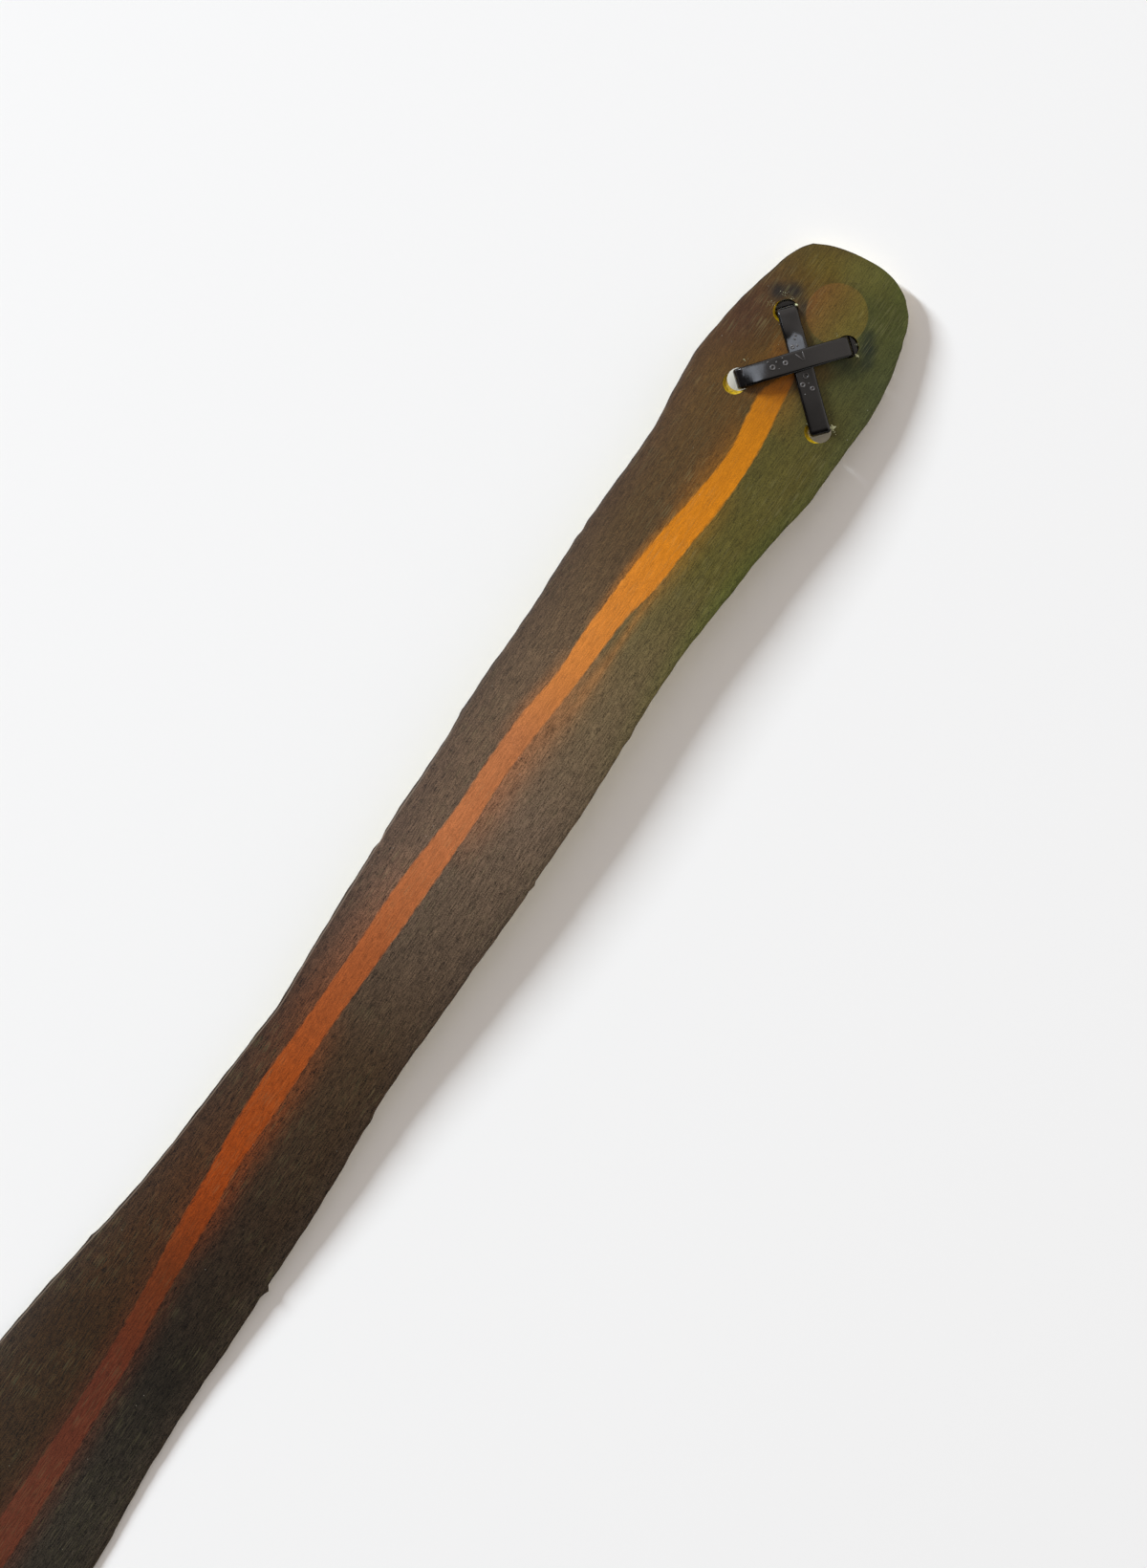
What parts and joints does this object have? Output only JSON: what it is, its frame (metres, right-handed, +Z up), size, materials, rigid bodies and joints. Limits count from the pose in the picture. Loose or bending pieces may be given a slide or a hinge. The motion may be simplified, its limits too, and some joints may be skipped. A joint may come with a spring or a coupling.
{
  "type": "artificial lancewood leaf cut from painted plastic sheet",
  "caption": "Long narrow strap leaf cut by hand from thin painted plastic sheet, with black cable ties crossed through drilled holes near its round end",
  "frame": {"origin": "middle of the bounding box on the surface that the leaf rests on", "axes": "+Z up out of the painted face, +Y along the leaf towards its round head end, +X to the right of the leaf seen from above"},
  "size_m": [0.0506, 0.62, 0.0099],
  "materials": {
    "painted_sheet": "satin paint, brushed lengthwise over golden-yellow plastic",
    "black_nylon": "moulded, semi-gloss"
  },
  "bodies": {
    "root": {"leaf_blade": "painted_sheet", "tie_over": "black_nylon", "tie_under": "black_nylon"}
  },
  "joints": []
}
